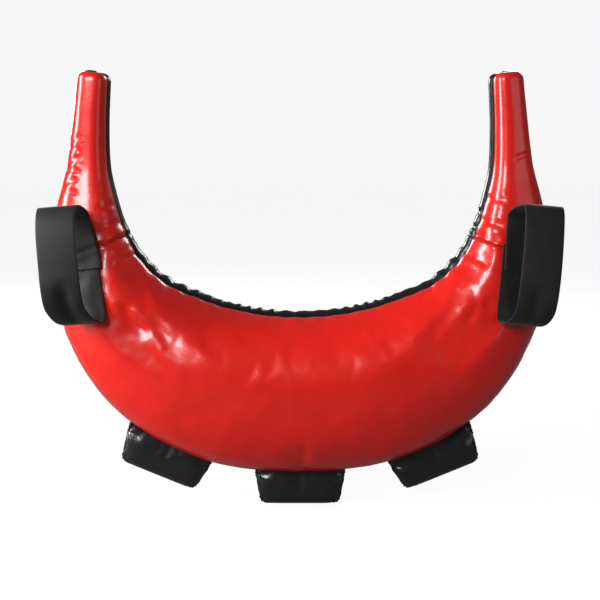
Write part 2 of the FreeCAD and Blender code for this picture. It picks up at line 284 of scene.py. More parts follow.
# %% The crescent as a closed shell
def crescent(name, inset, columns, step):
    """A closed shell through the ribs. Slot 0 is the red side, slot 1 the black side."""
    count = int((reach - TIP_ROUND) / step)
    straight = np.linspace(0, reach - TIP_ROUND, count + 1)
    rounding = reach - TIP_ROUND + TIP_ROUND * np.array([0.35, 0.62, 0.82, 0.95, 1.0])
    right = np.r_[straight, rounding]
    stops = np.r_[-right[:0:-1], right]
    points, gaps, outers = zip(*[rib(s, inset, columns) for s in stops])
    along = np.repeat(stops, columns)
    gap, outer, points = np.concatenate(gaps), np.concatenate(outers), np.vstack(points)
    faces, colours = [], []
    for i in range(len(stops) - 1):
        this, following = i * columns, (i + 1) * columns
        for j in range(columns):
            k = (j + 1) % columns
            faces.append((this + j, this + k, following + k, following + j))
            colours.append(0 if j < columns // 2 else 1)
    cap_rings = 3
    for first, s in ((0, stops[0]), ((len(stops) - 1) * columns, stops[-1])):
        ring = points[first:first + columns]
        middle = ring.mean(axis=0)
        previous = list(range(first, first + columns))
        for c in range(1, cap_rings):
            share = 1 - c / cap_rings
            start = len(points)
            points = np.vstack([points, middle + (ring - middle) * share])
            along = np.r_[along, np.full(columns, s)]
            gap = np.r_[gap, np.abs((ring - middle)[:, 1]) * share]
            outer = np.r_[outer, outer[first:first + columns]]
            current = list(range(start, start + columns))
            for j in range(columns):
                k = (j + 1) % columns
                faces.append((previous[j], previous[k], current[k], current[j]))
                colours.append(0 if j < columns // 2 else 1)
            previous = current
        points = np.vstack([points, middle])
        along, gap, outer = np.r_[along, s], np.r_[gap, 0.0], np.r_[outer, 0.0]
        for j in range(columns):
            faces.append((previous[j], previous[(j + 1) % columns], len(points) - 1))
            colours.append(0 if j < columns // 2 else 1)
    shell = make_mesh(name, points, faces, colours)
    store(shell, "along", along)
    store(shell, "seam_gap", gap)
    store(shell, "outer", outer)
    outward(shell)
    return shell

cover = crescent("cover", inset=0.0035, columns=96, step=0.005)
print("the shell has", len(cover.data.vertices), "points")

# %% [markdown]
# ## Filling it
# The real bag gets its creases from being filled: the leather is cut flat, the thread holds the
# seam at its length, and the filling pushes everything else out until it is tight. Cloth
# simulation does the same. The shell starts a little too small, the points on the seam are held,
# the leather between them may grow by a few parts in a hundred, and pressure swells it. What it
# can't use up folds into puckers beside the seam. No point may move further than a cap, so the
# bag keeps the size of the construction model. Thin, hard-stuffed horns hardly swell, and the
# inner seam is kept in line, so both keep only a little of the movement.

# %% Swell a shell with Cloth
def swell(shell, held_points, tight_points, pressure, cap, grow=0.04, bend=1.0):
    """Press a shell out from inside, with some points held and others cut tighter.

    The leather may grow by the share in grow, and no point moves further than cap.
    """
    grow_tight, frames = 0.01, 20
    start, clock = points_of(shell), time.time()
    held = shell.vertex_groups.new(name="held")
    held.add([int(i) for i in np.flatnonzero(held_points)], 1.0, "REPLACE")
    cloth = shell.modifiers.new("filling", "CLOTH")
    cloth.settings.quality = 5
    cloth.settings.mass = 0.3
    cloth.settings.tension_stiffness = cloth.settings.compression_stiffness = 40
    cloth.settings.shear_stiffness = 20
    cloth.settings.bending_stiffness = bend
    cloth.settings.use_pressure = True
    cloth.settings.uniform_pressure_force = pressure
    cloth.settings.effector_weights.gravity = 0
    cloth.settings.vertex_group_mass = "held"
    tight = shell.vertex_groups.new(name="tight")
    for index in np.flatnonzero(tight_points > 0.01):
        tight.add([int(index)], float(tight_points[index]), "REPLACE")
    cloth.settings.vertex_group_shrink = "tight"
    cloth.settings.shrink_min, cloth.settings.shrink_max = -grow, -grow_tight
    cloth.collision_settings.use_collision = False
    cloth.point_cache.frame_start, cloth.point_cache.frame_end = 1, frames
    for number in range(1, frames + 1):
        bpy.context.scene.frame_set(number)
    settled = shell.evaluated_get(bpy.context.evaluated_depsgraph_get())
    moved = points_of(settled) - start
    bpy.context.scene.frame_set(1)
    shell.modifiers.remove(cloth)
    shell.vertex_groups.clear()
    length = np.linalg.norm(moved, axis=1)
    moved *= np.minimum(1, cap / np.maximum(length, 1e-9))[:, None]
    move_points(shell, start + moved)
    mean, most = (round(float(v) * 1000, 1) for v in (length.mean(), length.max()))
    print(shell.name, "moved", mean, "mm on average, most", most, "mm, in",
          round(time.time() - clock, 1), "s")

gap, along = stored(cover, "seam_gap"), stored(cover, "along")
on_seam = gap < 0.0004
on_horns = ease(np.abs(along), root - 0.05, root + 0.05)
beside_inner_seam = (stored(cover, "outer") < 0) * hill(gap, 0.035)
unfilled = points_of(cover)
swell(cover, on_seam, on_horns, pressure=5, cap=0.006)
free = (1 - 0.92 * on_horns) * (1 - 0.9 * beside_inner_seam)
move_points(cover, unfilled + (points_of(cover) - unfilled) * free[:, None])

# %% [markdown]
# ## Sculpting the leather
# Cloth gives the large folds, but a grid of this size can't fold as finely as thread pulling
# leather does. After one subdivision the seam is pressed into a groove, short puckers run away
# from it on both sides, and the horns get the creases across them that come from bending a
# stuffed tube. Each crease is a shallow valley with a low ridge on each side of it, so it catches
# the light on one lip.

# %% Puckers and creases
finish_modifier(cover, "SUBSURF", levels=1, render_levels=1)
here, facing = points_of(cover), normals_of(cover)
gap, along, outer = (stored(cover, key) for key in ("seam_gap", "along", "outer"))
belly = 1 - ease(np.abs(along), root - 0.06, root + 0.06)
back = here[:, 1] > 0

def crease_line(across, width):
    """A valley of unit depth with a low ridge on each side."""
    return -hill(across, width) + 0.45 * hill(np.abs(across) - 2.1 * width, width)

# The groove of the seam, and the soft roll on each side of it.
lift = -(0.0012 + 0.0018 * belly) * hill(gap, 0.0035)
lift += (0.0004 + 0.0010 * belly) * hill(gap - 0.011, 0.008)
# Over the inner seam the black leather swells into an uneven roll, and the red one a little.
black_roll = 0.0066 + 0.0015 * rough_wave(along, 0.024, 3.0)
red_roll = 0.0012 + 0.0006 * rough_wave(along, 0.034, 1.0)
lift += belly * (outer < 0) * back * black_roll * hill(gap - 0.017, 0.013)
lift += belly * (outer < 0) * ~back * red_roll * hill(gap - 0.013, 0.010)
lift += (1 - belly) * back * np.where(outer > 0, 0.0028, 0.0008) * hill(gap - 0.010, 0.007)
# Short puckers at random places along both seams, on both faces, weaker on the horns.
picker = np.random.default_rng(7)
for near_outer, count, strength in ((True, 110, 0.75), (False, 80, 0.35)):
    for behind in (False, True):
        there = (back == behind) & ((outer > 0) == near_outer)
        for place in picker.uniform(-reach + 0.03, reach - 0.03, count):
            local = 0.12 + 0.88 * float(1 - ease(abs(place), root - 0.08, root + 0.06))
            local *= 1.0 if near_outer or behind else 0.3
            length = picker.uniform(0.010, 0.030) * local
            width, skew = picker.uniform(0.0016, 0.0034), picker.uniform(-0.5, 0.5)
            depth = picker.uniform(0.0004, 0.0013) * strength * local
            close = there & (np.abs(along - place) < 0.03) & (gap < length)
            fade = ease(gap[close], 0.0, 0.004) * (1 - ease(gap[close], 0.35 * length, length))
            across = along[close] - place - skew * gap[close]
            lift[close] += depth * fade * crease_line(across, width)
# Slow lumps from the filling.
lift += 0.0010 * belly * lumps(here, 0.060, 1) + (0.0001 + 0.0003 * belly) * lumps(here, 0.022, 2)

def crease(face, x, z, angle, length, width, depth):
    """One crease on a face (-1 red, 1 black), centred at x, z, turned by the angle from level."""
    a = math.radians(angle)
    dx, dz = here[:, 0] - x, here[:, 2] - z
    lengthwise, across = dx * math.cos(a) + dz * math.sin(a), -dx * math.sin(a) + dz * math.cos(a)
    across = across + 0.25 * lengthwise ** 2 / length
    fade = (1 - ease(np.abs(lengthwise), 0.2 * length, 0.5 * length)) * (here[:, 1] * face > 0)
    return depth * fade * crease_line(across, width)

CREASES = [     # face, x, z, angle in degrees, length, width, depth
    (-1, -0.270, 0.468, 28, 0.022, 0.0024, 0.0008), (-1, -0.272, 0.456, -20, 0.024, 0.0024, 0.0010),
    (-1, -0.273, 0.444, 30, 0.026, 0.0026, 0.0012), (-1, -0.275, 0.431, -14, 0.028, 0.0026, 0.0012),
    (-1, -0.277, 0.418, 24, 0.030, 0.0028, 0.0011), (-1, -0.279, 0.406, -10, 0.030, 0.0028, 0.0010),
    (-1, -0.237, 0.388, 10, 0.024, 0.0034, 0.0006), (-1, -0.232, 0.364, 18, 0.028, 0.0036, 0.0009),
    (-1, -0.224, 0.345, 22, 0.032, 0.0038, 0.0010), (-1, -0.212, 0.322, 30, 0.034, 0.0040, 0.0009),
    (-1, 0.238, 0.396, -6, 0.028, 0.0036, 0.0009), (-1, 0.234, 0.368, -14, 0.030, 0.0036, 0.0011),
    (-1, 0.227, 0.350, -16, 0.036, 0.0042, 0.0012), (-1, 0.216, 0.324, -28, 0.032, 0.0040, 0.0008),
    (-1, 0.268, 0.448, 16, 0.026, 0.0026, 0.0009),
    (-1, -0.205, 0.250, -38, 0.064, 0.0085, 0.0015), (-1, -0.176, 0.240, -30, 0.052, 0.0075, 0.0012),
    (-1, -0.236, 0.262, -56, 0.060, 0.0080, 0.0014), (-1, 0.214, 0.262, 40, 0.050, 0.0070, 0.0009),
    (1, -0.262, 0.474, 8, 0.034, 0.0024, 0.0013), (1, -0.262, 0.456, 12, 0.036, 0.0026, 0.0016),
    (1, -0.262, 0.436, 14, 0.038, 0.0026, 0.0017), (1, -0.263, 0.418, 16, 0.042, 0.0028, 0.0019),
    (1, -0.264, 0.398, 18, 0.046, 0.0030, 0.0018), (1, -0.266, 0.378, 20, 0.050, 0.0032, 0.0016),
    (1, 0.228, 0.376, -32, 0.036, 0.0028, 0.0015), (1, 0.222, 0.357, -38, 0.038, 0.0030, 0.0016),
    (1, 0.240, 0.298, -35, 0.030, 0.0030, 0.0013), (1, 0.272, 0.436, -14, 0.034, 0.0026, 0.0013),
]
for one in CREASES:
    lift += crease(*one)
deepest = round(float(-lift.min()) * 1000, 1)
print(len(CREASES), "single creases; the deepest groove is", deepest, "mm")

# %% [markdown]
# Each face is cut from three pieces of leather: the belly, and a horn at each end. The cross seam
# where a horn begins is pressed in too, a little aslant. Its place is kept as a number on the
# points, together with the seam groove's, so that painted shade can darken the leather in these
# folds.

# %% Cross seams
CROSS_SEAM_X, CROSS_SEAM_Z, CROSS_SEAM_SLANT = 0.2584, 0.3345, math.radians(20)

def cross_seam(side):
    """Middle, level direction and upward direction of a cross seam; side is -1 for the left."""
    middle = np.array([side * CROSS_SEAM_X, 0.0, CROSS_SEAM_Z])
    level = np.array([-side * math.cos(CROSS_SEAM_SLANT), 0.0, math.sin(CROSS_SEAM_SLANT)])
    rise = np.array([side * math.sin(CROSS_SEAM_SLANT), 0.0, math.cos(CROSS_SEAM_SLANT)])
    return middle, level, rise

# Painted shade: this mask marks the seam groove and the cross seams, and the leather materials darken
# their colour there.
fold_shade = hill(gap, 0.0030)
for side in (-1, 1):
    middle, _, rise = cross_seam(side)
    off = (here - middle) @ rise
    on_side = here[:, 0] * side > 0.15
    lift += on_side * (0.0008 * crease_line(off, 0.0021) + 0.0006 * hill(off - 0.007, 0.006)
                       + 0.0006 * hill(off + 0.007, 0.006))
    fold_shade = np.maximum(fold_shade, on_side * hill(off, 0.0012))
move_points(cover, here + facing * lift[:, None])
store(cover, "fold_shade", fold_shade)
smooth(cover)
here = points_of(cover)
print("the cover's box is", here.min(axis=0).round(4), here.max(axis=0).round(4))

# %% [markdown]
# ## Two covers and the filling
# The red and the black side are separate leathers that meet at the seam, so the shell is parted
# there into two pieces. Both keep the seam's points, so they still touch. Each gets the thickness
# of coated leather, inwards. A plain stuffed form inside them stands for the liner, the wadding
# and the sacks of sand.

# %% Part the shell by colour
LEATHER_THICK = 0.0012

def part_by_slot(shell, slot_number, name):
    """A copy of the shell with only the faces of one slot."""
    thing = bpy.data.objects.new(name, shell.data.copy())
    thing.data.name = name
    bpy.context.scene.collection.objects.link(thing)
    work = bmesh.new()
    work.from_mesh(thing.data)
    others = [face for face in work.faces if face.material_index != slot_number]
    bmesh.ops.delete(work, geom=others, context="FACES")
    for face in work.faces:
        face.material_index = 0
    work.to_mesh(thing.data)
    work.free()
    return smooth(thing)

red_cover = part_by_slot(cover, 0, "red_cover")
black_cover = part_by_slot(cover, 1, "black_cover")
skin_tree = BVHTree.FromObject(cover, bpy.context.evaluated_depsgraph_get())
for leather in (red_cover, black_cover):
    finish_modifier(leather, "SOLIDIFY", thickness=LEATHER_THICK, offset=-1)
    smooth(leather)
    print(leather.name, len(leather.data.polygons) * 2, "triangles")

# %% The filling
stuffing = crescent("stuffing", inset=0.0, columns=48, step=0.010)
along = stored(stuffing, "along")
middle_line = np.array([rib_frame(s)[0] for s in along])
shape = points_of(stuffing)
thinner = 0.84 - 0.34 * ease(np.abs(along), root - 0.05, root + 0.08)
shape[:, 0] = middle_line[:, 0] + (shape[:, 0] - middle_line[:, 0]) * thinner
shape[:, 2] = middle_line[:, 1] + (shape[:, 2] - middle_line[:, 1]) * thinner
shape[:, 1] *= thinner
shape[:, 2] -= 0.006 * ease(np.abs(along), reach - 0.03, reach)
move_points(stuffing, shape)
smooth(stuffing)
bpy.data.objects.remove(cover)

panels = ("belly_panel", "left_horn_panel", "right_horn_panel")
fillings = ("liner_bag", "belly_wadding", "left_horn_core", "right_horn_core",
            "middle_sand_sack", "left_sand_sack", "right_sand_sack")
for thing, nodes, slot_name in ((red_cover, ["red_" + node for node in panels], "red_leather"),
                                (black_cover, ["black_" + node for node in panels], "black_leather"),
                                (stuffing, fillings, "wadding")):
    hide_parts(*nodes)
    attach(thing, "bag")
print("covers and filling stand for", 2 * len(panels) + len(fillings), "nodes")

# %% [markdown]
# ## The hand loops
# A hand loop is one length of flat webbing, sewn to the red face at the foot of a horn. It isn't
# a round ring: the webbing is stiff, so it stands off the bag as a D, with a hard fold at the
# top, a straight near strap and a slope back to the face below. Its end laps over its start by a
# few centimetres and is cut square. A grid is a good start for a strap, because each of its
# points can be told how far along and how far across it is.

# %% A loop's frame on the face
LOOP_WIDTH, LOOP_THICK = 0.0455, 0.0022

def loop_frame(side):
    """Foot, up, out and inward directions of a loop; side is -1 for the left."""
    foot = np.array([side * 0.26477, -0.0466, 0.31431])
    up = np.array([side * 0.07908, 0.17976, 0.98053])
    out = np.array([side * 0.01445, -0.98371, 0.17918])
    inward = np.array([-side * 0.99676, 0.0, 0.08039])
    return foot, up, out, inward

def skin_height(side, a, c):
    """How far out of the loop's foot plane the leather is, at a up and c inward."""
    foot, up, out, inward = loop_frame(side)
    probe, no_leather = 0.06, -0.012
    start = foot + up * a + inward * c + out * probe
    hit = skin_tree.ray_cast(Vector(start), Vector(-out), 0.2)
    return probe - hit[3] if hit[0] is not None else no_leather

print("leather under the left loop's foot is at", round(skin_height(-1, 0.0, 0.0) * 1000, 1), "mm")

# %% Shape a strap from a grid
# A route starts where the webbing is sewn down. It goes down and out, up the near strap and back to
# the face, and ends over its own start. Its points are millimetres up the horn and off the face.
LOOP_ROUTES = {
    -1: [(28, 0.2), (6, 0.2), (-18, 0.2), (-40, 0.6), (-56, 4), (-66, 13), (-64, 24), (-53, 36),
         (-39, 46), (-22, 52.5), (0, 55), (24, 55.5), (46, 53.5), (61, 48.5), (69.5, 41), (71, 31),
         (68.5, 18), (62, 6.5), (50, 3.2), (30, 2.8), (10, 2.8), (-2, 2.8)],
    1: [(28, 0.2), (6, 0.2), (-18, 0.2), (-42, 0.6), (-58, 4), (-67, 14), (-66, 25), (-56, 38),
        (-42, 47), (-24, 52), (0, 54), (24, 55), (46, 54.5), (62, 51), (70.5, 44), (71.5, 33),
        (69, 19), (62, 6.5), (50, 3.2), (30, 2.8), (8, 2.8), (-4, 2.8)],
}
LOW_DIMPLE = {-1: 0.0058, 1: 0.0022}    # how far the near strap is pushed in, low down
SIDE_SLOPE = {-1: 0.08, 1: 0.02}        # how far the sewn part runs aslant
HALF_WEBBING = 0.0225

def shape_loop(name, side):
    foot, up, out, inward = loop_frame(side)
    route = np.array(LOOP_ROUTES[side]) / 1000
    chord = np.r_[0, np.cumsum(np.hypot(*np.diff(route, axis=0).T))]
    deselect_all()
    bpy.ops.mesh.primitive_grid_add(x_subdivisions=140, y_subdivisions=14, size=1)
    strap = bpy.context.object
    strap.name = strap.data.name = name
    grid = points_of(strap)
    t, c = (grid[:, 0] + 0.5) * chord[-1], grid[:, 1] * LOOP_WIDTH
    a, o = through(t, chord, route[:, 0]), through(t, chord, route[:, 1])
    near = ease(o, 0.006, 0.045)
    low = ease(-a, 0.012, 0.040) * near
    # A dimple and a slight crown across the webbing, then waves along it and a twist.
    crown = 1 - (c / HALF_WEBBING) ** 2
    o = o - LOW_DIMPLE[side] * low * hill(c - 0.002, 0.008) + 0.0012 * near * crown
    o = o + 0.0010 * near * np.sin(a * 62 + side) + 0.0012 * near * (c / HALF_WEBBING) * np.sin(a * 38)
    lap = ease(t, chord[-1] - 0.075, chord[-1])
    c = c - 0.0115 * near - SIDE_SLOPE[side] * a * (1 - near) - 0.0035 * lap * side
    # Where it lies on the bag it follows the leather, with room for its own thickness.
    reachable = np.clip(c, -0.0235, 0.0235)
    height = np.array([skin_height(side, x, y) for x, y in zip(a, reachable)])
    laid = 1 - ease(o, 0.004, 0.022)
    o = o + (height + 0.0013) * laid
    move_points(strap, foot + np.outer(a, up) + np.outer(o, out) + np.outer(c, inward))
    store(strap, "lengthwise", t)
    store(strap, "crosswise", c)
    finish_modifier(strap, "SOLIDIFY", thickness=LOOP_THICK, offset=0, use_even_offset=False)
    finish_modifier(strap, "BEVEL", width=0.0006, segments=2, limit_method="ANGLE",
                    angle_limit=math.radians(50))
    outward(strap)
    smooth(strap)
    strap.data.set_sharp_from_angle(angle=math.radians(45))
    return strap

loops = {}
for side, word in ((-1, "left"), (1, "right")):
    foot, _, out, _ = loop_frame(side)
    strap = shape_loop(word + "_hand_loop_webbing", side)
    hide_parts(word + "_hand_strap", word + "_loop_anchor")
    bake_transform(strap)
    loops[side] = strap
    spots = points_of(strap)
    print(strap.name, "box", spots.min(axis=0).round(3), spots.max(axis=0).round(3))

# %% [markdown]
# ## Stitches
# One stitch is a short sausage of thread with its ends dipping into the cloth. It is made once,
# from a cylinder whose ends are bevelled round, and copied along each row at a real pitch. The
# loops are sewn down by a box with a cross in it, and one row runs just above each cross seam.

# %% One stitch, and rows of them
def one_stitch(length, radius):
    """A thread sausage lying along X at the origin, as points and faces."""
    deselect_all()
    bpy.ops.mesh.primitive_cylinder_add(vertices=7, radius=radius, depth=length,
                                        rotation=(0, math.pi / 2, 0))
    stitch = bpy.context.object
    bpy.ops.object.transform_apply(rotation=True)
    bpy.ops.object.mode_set(mode="EDIT")
    bpy.ops.mesh.select_all(action="SELECT")
    bpy.ops.mesh.bevel(offset=radius * 0.8, segments=2, affect="EDGES")
    bpy.ops.object.mode_set(mode="OBJECT")
    points = points_of(stitch).copy()
    points[:, 2] -= 1.1 * radius * (2 * points[:, 0] / length) ** 2
    faces = [tuple(f.vertices) for f in stitch.data.polygons]
    bpy.data.objects.remove(stitch)
    return points, faces

def sew(name, places, length, radius):
    """Stitches at places, each given as its middle, its direction and the surface's normal."""
    model, model_faces = one_stitch(length, radius)
    points, faces = [], []
    for middle, along_row, normal in places:
        x = np.array(along_row) / np.linalg.norm(along_row)
        z = np.array(normal) - x * np.dot(normal, x)
        z /= np.linalg.norm(z)
        turned = np.array(middle) + model @ np.array([x, np.cross(z, x), z])
        faces += [tuple(v + len(points) * len(model) for v in f) for f in model_faces]
        points.append(turned)
    thread = make_mesh(name, np.vstack(points), faces)
    outward(thread)
    return smooth(thread)

def row(start, end, pitch):
    """Middles and the direction of stitches on a straight row."""
    start, end = np.array(start, float), np.array(end, float)
    count = max(int(round(np.linalg.norm(end - start) / pitch)), 1)
    return [(start + (end - start) * (i + 0.5) / count, end - start) for i in range(count)]

# The box with a cross, as pairs of corners: across and up, in metres from the loop's foot.
BOX_WIDE, BOX_HIGH = 0.0165, 0.034
corners = [(-BOX_WIDE, -BOX_HIGH), (BOX_WIDE, -BOX_HIGH),
           (BOX_WIDE, BOX_HIGH), (-BOX_WIDE, BOX_HIGH)]
box = [(corners[i], corners[(i + 1) % 4]) for i in range(4)]
box += [(corners[0], corners[2]), (corners[3], corners[1])]
for side, word in ((-1, "left"), (1, "right")):
    foot, up, out, inward = loop_frame(side)
    tree = BVHTree.FromObject(loops[side], bpy.context.evaluated_depsgraph_get())
    places = []
    for first, last in box:
        for middle, direction in row(first, last, pitch=0.0042):
            start = foot + up * middle[1] + inward * middle[0] + out * 0.018
            hit = tree.ray_cast(Vector(start), Vector(-out), 0.05)
            if hit[0] is not None:
                places.append((np.array(hit[0]), inward * direction[0] + up * direction[1], out))
    thread = sew(word + "_loop_thread", places, length=0.0034, radius=0.00045)
    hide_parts(word + "_loop_stitching")
    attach(thread, "bag")
    print(thread.name, len(places), "stitches")

# %% Stitches beside the cross seams
for face, leather_name in ((-1, "red"), (1, "black")):
    places = []
    for side in (-1, 1):
        middle, level, rise = cross_seam(side)
        middle = middle + rise * 0.0038
        for point, direction in row(middle - level * 0.040, middle + level * 0.040, pitch=0.0040):
            before = Vector(point + np.array([0, face * 0.12, 0]))
            hit = skin_tree.ray_cast(before, Vector((0, -face, 0)), 0.2)
            if hit[0] is not None and abs(hit[1][1]) > 0.35:
                facing = np.array(hit[1]) * (1 if hit[1][1] * face > 0 else -1)
                places.append((np.array(hit[0]), direction, facing))
    thread = sew(leather_name + "_cross_seam_thread", places, length=0.0031, radius=0.00036)
    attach(thread, "bag")
    print(thread.name, len(places), "stitches")

# %% [markdown]
# ## The tabs
# Each tab is a small trapezoid cushion: a black leather in front, a red one behind, sewn together
# down the sides and along the free edge, with its open top caught in the bag's outer seam. Two
# trapezoids that share their edges are cut a little plump, as if over a foam pad, and Cloth
# swells them. That gives the roll, the pulled-in sides and the dog ears at the corners.

# %% Cut a tab
TABS = {        # the middle of its seam, the direction across and the direction down
    "middle": ((0.0, 0.0, 0.049), (1.0, 0.0, 0.0), (0.0, 0.0, -1.0)),
    "left": ((-0.16563, 0.0, 0.08343), (0.91994, 0.0, -0.39206), (-0.39206, 0.0, -0.91994)),
    "right": ((0.16563, 0.0, 0.08343), (-0.91994, 0.0, -0.39206), (0.39206, 0.0, -0.91994)),
}
TAB_ACROSS, TAB_DOWN = 44, 24
TAB_TUCK, TAB_DROP = 0.016, 0.0525
TAB_HALF_WIDTHS = (-TAB_TUCK, 0.004, 0.046, TAB_DROP), (0.060, 0.0605, 0.0530, 0.0500)

def tab_half_thickness(u, drop):
    """Half of a tab's thickness, at u across (-1 to 1) and at a distance below the seam."""
    plump = (0.3 + 0.7 * ease(drop, 0.002, 0.024)) * (1 - ease(drop, 0.040, 0.0535))
    return 0.0088 * (plump * (1 - abs(u) ** 8)) + 0.001

def cut_tab(name, seam, wide, down):
    """Two trapezoid sheets that share their four edges and are already a little plump."""
    seam, wide, down = (np.array(v) for v in (seam, wide, down))
    points, drops, sides, index = [], [], [], {}
    for sheet in (-1, 1):
        for k in range(TAB_DOWN + 1):
            for i in range(TAB_ACROSS + 1):
                edge = i in (0, TAB_ACROSS) or k in (0, TAB_DOWN)
                if edge and sheet == 1:
                    index[sheet, k, i] = index[-1, k, i]
                    continue
                u = 2 * i / TAB_ACROSS - 1
                drop = -TAB_TUCK + (TAB_TUCK + TAB_DROP) * k / TAB_DOWN
                half = np.interp(drop, *TAB_HALF_WIDTHS)
                corner = 0.004 * ease(abs(u), 0.82, 1.0) * ease(drop, 0.030, TAB_DROP)
                sag = 0.0035 * u * u * (1 - ease(drop, -0.004, 0.010))
                thick = 0 if edge else tab_half_thickness(u, drop)
                place = seam + wide * half * u + down * (drop - corner)
                index[sheet, k, i] = len(points)
                points.append(place + np.array([0, sheet * thick, 0]) - down * sag)
                drops.append(drop)
                sides.append(u)
    faces, colours = [], []
    for sheet in (-1, 1):
        for k in range(TAB_DOWN):
            for i in range(TAB_ACROSS):
                quad = [index[sheet, k + dk, i + di] for dk, di in ((0, 0), (0, 1), (1, 1), (1, 0))]
                faces.append(quad[::-sheet])
                colours.append(0 if sheet < 0 else 1)
    tab = make_mesh(name, points, faces, colours)
    store(tab, "drop", drops)
    store(tab, "side", sides)
    outward(tab)
    return tab

print("a tab is", round(2000 * tab_half_thickness(0.0, 0.032), 1), "mm thick before it is swelled")

# %% Swell the tabs and part their two leathers
TAB_LOWEST = 0.0487     # how far below its seam a tab may hang
EARS = ((-0.9, 0.046), (0.9, 0.046), (-0.95, 0.010), (0.95, 0.012))     # across, and metres down
LAYERS = ((0, "black", "front", ("front_cover", "flange", "pad")),
          (1, "red", "back", ("back_cover",)))
lowest = {}
for word, (seam, wide, down) in TABS.items():
    tab = cut_tab(word + "_tab", seam, wide, down)
    seam, down, drop = np.array(seam), np.array(down), stored(tab, "drop")
    swell(tab, drop < 0.001, np.zeros(len(drop)), pressure=6, cap=0.013, grow=0.012, bend=3.0)
    finish_modifier(tab, "SMOOTH", factor=0.5, iterations=3)
    finish_modifier(tab, "SUBSURF", levels=1, render_levels=1)
    drop, across = stored(tab, "drop"), stored(tab, "side")
    shape, facing = points_of(tab), normals_of(tab)
    low = ease(drop, 0.0, 0.012)
    shape = shape + facing * (low * 0.0005 * lumps(shape, 0.014, 5))[:, None]
    # Creases fan out from each corner.
    for ear, below in EARS:
        sideways, downwards = (across - ear) * 0.055, drop - below
        apart, turn = np.hypot(sideways, downwards), np.arctan2(downwards, sideways)
        shape += facing * (0.0008 * hill(apart, 0.012) * np.sin(6 * turn + ear))[:, None]
    # No point hangs lower than the construction model's edge.
    depth = (shape - seam) @ down
    shape -= np.outer(np.maximum(depth - TAB_LOWEST, 0), down)
    move_points(tab, shape)
    lowest[word] = round(float(shape[:, 2].min()), 4)
    # Painted shade: this mask marks the tab's sewn sides, its free edge and its top seam, and the
    # leather materials darken their colour there.
    edge = np.maximum(hill((1 - np.abs(across)) * 0.052, 0.0022), hill(TAB_DROP - drop, 0.0022))
    store(tab, "fold_shade", np.maximum(edge, hill(drop, 0.004)))
    for number, colour, layer, nodes in LAYERS:
        leather = part_by_slot(tab, number, "%s_tab_%s_leather" % (word, layer))
        finish_modifier(leather, "SOLIDIFY", thickness=LEATHER_THICK, offset=-1)
        smooth(leather)
        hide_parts(*["%s_tab_%s" % (word, node) for node in nodes])
        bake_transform(leather)
    bpy.data.objects.remove(tab)
print("lowest points of the tabs:", lowest)

# %% [markdown]
# ## Leather
# The covers are coated leather: a thin plastic skin over a fine pebble grain. Three things make
# it read as such: a broad soft shine with a tighter coat over it, a grain of about a millimetre
# that breaks the shine up, and a colour that is never quite even. On top of that, painted shade
# darkens the colour in the seam folds, where the coat is also thinner, the leather rougher and the
# specular level lower. The pattern is worked out on object coordinates, in metres, so it has its
# real size on every piece. It lives in one node group that gives out a shade, a roughness and a
# normal, and each colour of leather uses it.

# %% Helpers for materials
def add_node(tree, kind, **values):
    node = tree.nodes.new(kind)
    for key, value in values.items():
        setattr(node, key, value)
    return node

def math_node(tree, operation, first, second):
    """A sum, product or wave of two values; each is a number or another node's output."""
    node = add_node(tree, "ShaderNodeMath", operation=operation)
    for slot, value in enumerate((first, second)):
        if hasattr(value, "links"):
            tree.links.new(value, node.inputs[slot])
        else:
            node.inputs[slot].default_value = value
    return node.outputs[0]

def spread(tree, value, low, high):
    """Turn a value from 0 to 1 into one from low to high."""
    node = add_node(tree, "ShaderNodeMapRange")
    tree.links.new(value, node.inputs["Value"])
    node.inputs["To Min"].default_value, node.inputs["To Max"].default_value = low, high
    return node.outputs["Result"]

def pattern(tree, kind, scale, output, **values):
    """One output of a texture on object coordinates, in metres."""
    node, place = add_node(tree, kind), add_node(tree, "ShaderNodeTexCoord")
    tree.links.new(place.outputs["Object"], node.inputs["Vector"])
    node.inputs["Scale"].default_value = scale
    for key, value in values.items():
        node.inputs[key].default_value = value
    return node.outputs[output]

def tint_between(tree, value, dark, light, low, high):
    """A colour that goes from dark at the value low to light at the value high."""
    node = add_node(tree, "ShaderNodeValToRGB")
    first, last = node.color_ramp.elements
    first.position, first.color = low, (*dark, 1)
    last.position, last.color = high, (*light, 1)
    tree.links.new(value, node.inputs["Fac"])
    return node.outputs["Color"]

def bump_from(tree, height, strength, distance):
    node = add_node(tree, "ShaderNodeBump")
    node.inputs["Strength"].default_value, node.inputs["Distance"].default_value = strength, distance
    tree.links.new(height, node.inputs["Height"])
    return node.outputs["Normal"]

def new_material(name):
    material = bpy.data.materials.new(name)
    material.use_nodes = True
    return material, material.node_tree, material.node_tree.nodes["Principled BSDF"]

def dress(thing, material):
    thing.data.materials.clear()
    thing.data.materials.append(material)

print("material helpers are ready")

# %% A node group for grain
grain = bpy.data.node_groups.new("coated leather grain", "ShaderNodeTree")
grain.interface.new_socket("Fold Shade", in_out="INPUT", socket_type="NodeSocketFloat")
grain.interface.new_socket("Shade", in_out="OUTPUT", socket_type="NodeSocketFloat")
grain.interface.new_socket("Roughness", in_out="OUTPUT", socket_type="NodeSocketFloat")
grain.interface.new_socket("Normal", in_out="OUTPUT", socket_type="NodeSocketVector")
inside, outside = add_node(grain, "NodeGroupInput"), add_node(grain, "NodeGroupOutput")
fold_shade_in = inside.outputs["Fold Shade"]

